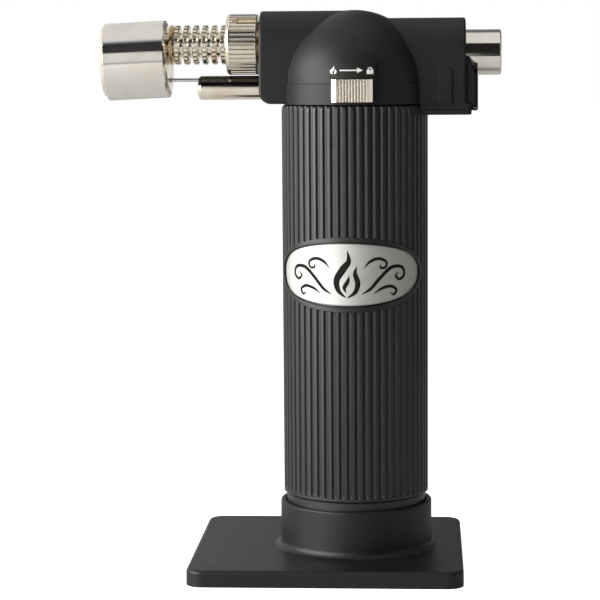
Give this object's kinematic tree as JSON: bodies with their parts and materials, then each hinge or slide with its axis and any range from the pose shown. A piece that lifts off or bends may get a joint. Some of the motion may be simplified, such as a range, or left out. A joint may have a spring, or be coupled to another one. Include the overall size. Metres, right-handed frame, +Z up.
{
  "type": "butane torch",
  "caption": "Table-top butane micro torch with piezo trigger, finned burner, fluted fuel tank and a lift-off foot.",
  "frame": {"origin": "on the ground, under the fuel tank's axis, in the middle of the foot's underside hub", "axes": "+Z up along the fuel tank, -X the way the nozzle points, +X the trigger button, -Y the badge side"},
  "size_m": [0.1089, 0.0706, 0.1521],
  "materials": {
    "foot_plastic": "satin moulded black",
    "tank_plastic": "matte soft-touch black",
    "head_plastic": "fine-grained moulded black",
    "lever_plastic": "moulded black",
    "badge_metal": "satin, bright",
    "chrome": "polished plate",
    "nickel": "warm nickel plate",
    "brass": "turned",
    "steel": "plain",
    "rubber": "matte",
    "ceramic": "unglazed white",
    "inner_plastic": "moulded"
  },
  "bodies": {
    "stand": {"base_stand": "foot_plastic"},
    "torch": {"tank_body": "tank_plastic", "badge_plate": "badge_metal", "tank_floor": "inner_plastic", "floor_seal": "rubber", "refill_valve_body": "brass", "tank_top": "inner_plastic", "top_seal": "rubber", "gas_valve_body": "brass", "head_chassis": "inner_plastic", "chassis_screws": "steel", "valve_lever_pin": "steel", "piezo_body": "inner_plastic", "housing_left": "head_plastic", "housing_right": "head_plastic", "housing_screws": "steel", "rear_bracket": "head_plastic", "bracket_screws": "steel", "lever_pin": "steel", "jet_holder": "brass", "gas_jet": "brass", "mixing_tube": "nickel", "retaining_rings": "brass", "nozzle_shell": "chrome", "nozzle_sleeve": "ceramic", "nozzle_plate": "nickel", "flame_tip": "brass", "electrode_tube": "chrome", "electrode_insulator": "ceramic", "electrode_wire": "steel", "gas_tube": "rubber", "ignition_lead": "rubber", "trigger_spring": "steel", "gas_valve_spring": "steel", "refill_valve_spring": "steel"},
    "trigger": {"trigger_button": "chrome", "trigger_link": "inner_plastic", "piezo_plunger": "inner_plastic"},
    "valve_lever": {"valve_lever": "steel"},
    "valve_stem": {"gas_valve_stem": "brass", "valve_pad": "rubber"},
    "refill_stem": {"refill_valve_stem": "brass"},
    "safety_lever": {"safety_lever": "lever_plastic"},
    "flame_lock": {"lock_slider": "nickel"},
    "flow_control": {"flow_slider": "nickel"},
    "air_collar": {"air_ring": "nickel"}
  },
  "joints": [
    {"name": "lift_off_stand", "type": "slide", "parent": "stand", "child": "torch", "axis": [0, 0, 1], "range_m": [0, 0.02]},
    {"name": "trigger_press", "type": "slide", "parent": "torch", "child": "trigger", "axis": [-1, 0, 0], "range_m": [0, 0.0045], "stiffness_N_per_m": 900, "springref_m": -0.006, "deforming": ["trigger_spring"]},
    {"name": "valve_lever_tilt", "type": "hinge", "parent": "torch", "child": "valve_lever", "pos_m": [0.007, 0, 0.1319], "axis": [0, 1, 0], "range_deg": [0, 7.6]},
    {"name": "valve_stem_lift", "type": "slide", "parent": "torch", "child": "valve_stem", "axis": [0, 0, 1], "range_m": [0, 0.00081], "deforming": ["gas_valve_spring"]},
    {"name": "refill_stem_press", "type": "slide", "parent": "torch", "child": "refill_stem", "axis": [0, 0, 1], "range_m": [0, 0.0012], "stiffness_N_per_m": 300, "springref_m": -0.002, "deforming": ["refill_valve_spring"]},
    {"name": "safety_lever_swing", "type": "hinge", "parent": "torch", "child": "safety_lever", "pos_m": [0.03275, 0, 0.1254], "axis": [0, 1, 0], "range_deg": [0, 25]},
    {"name": "flame_lock_slide", "type": "hinge", "parent": "torch", "child": "flame_lock", "pos_m": [0, 0, 0.13], "axis": [0, 0, 1], "range_deg": [0, 8.5]},
    {"name": "flow_control_slide", "type": "hinge", "parent": "torch", "child": "flow_control", "pos_m": [0, 0, 0.13], "axis": [0, 0, 1], "range_deg": [-8, 8]},
    {"name": "air_collar_turn", "type": "hinge", "parent": "torch", "child": "air_collar", "pos_m": [-0.03, 0, 0.1429], "axis": [1, 0, 0], "range_deg": [-60, 60]}
  ],
  "couplings": [
    {"joint": "valve_lever_tilt", "follows": "trigger_press", "rad_per_m": 29},
    {"joint": "valve_stem_lift", "follows": "trigger_press", "ratio": 0.178}
  ]
}
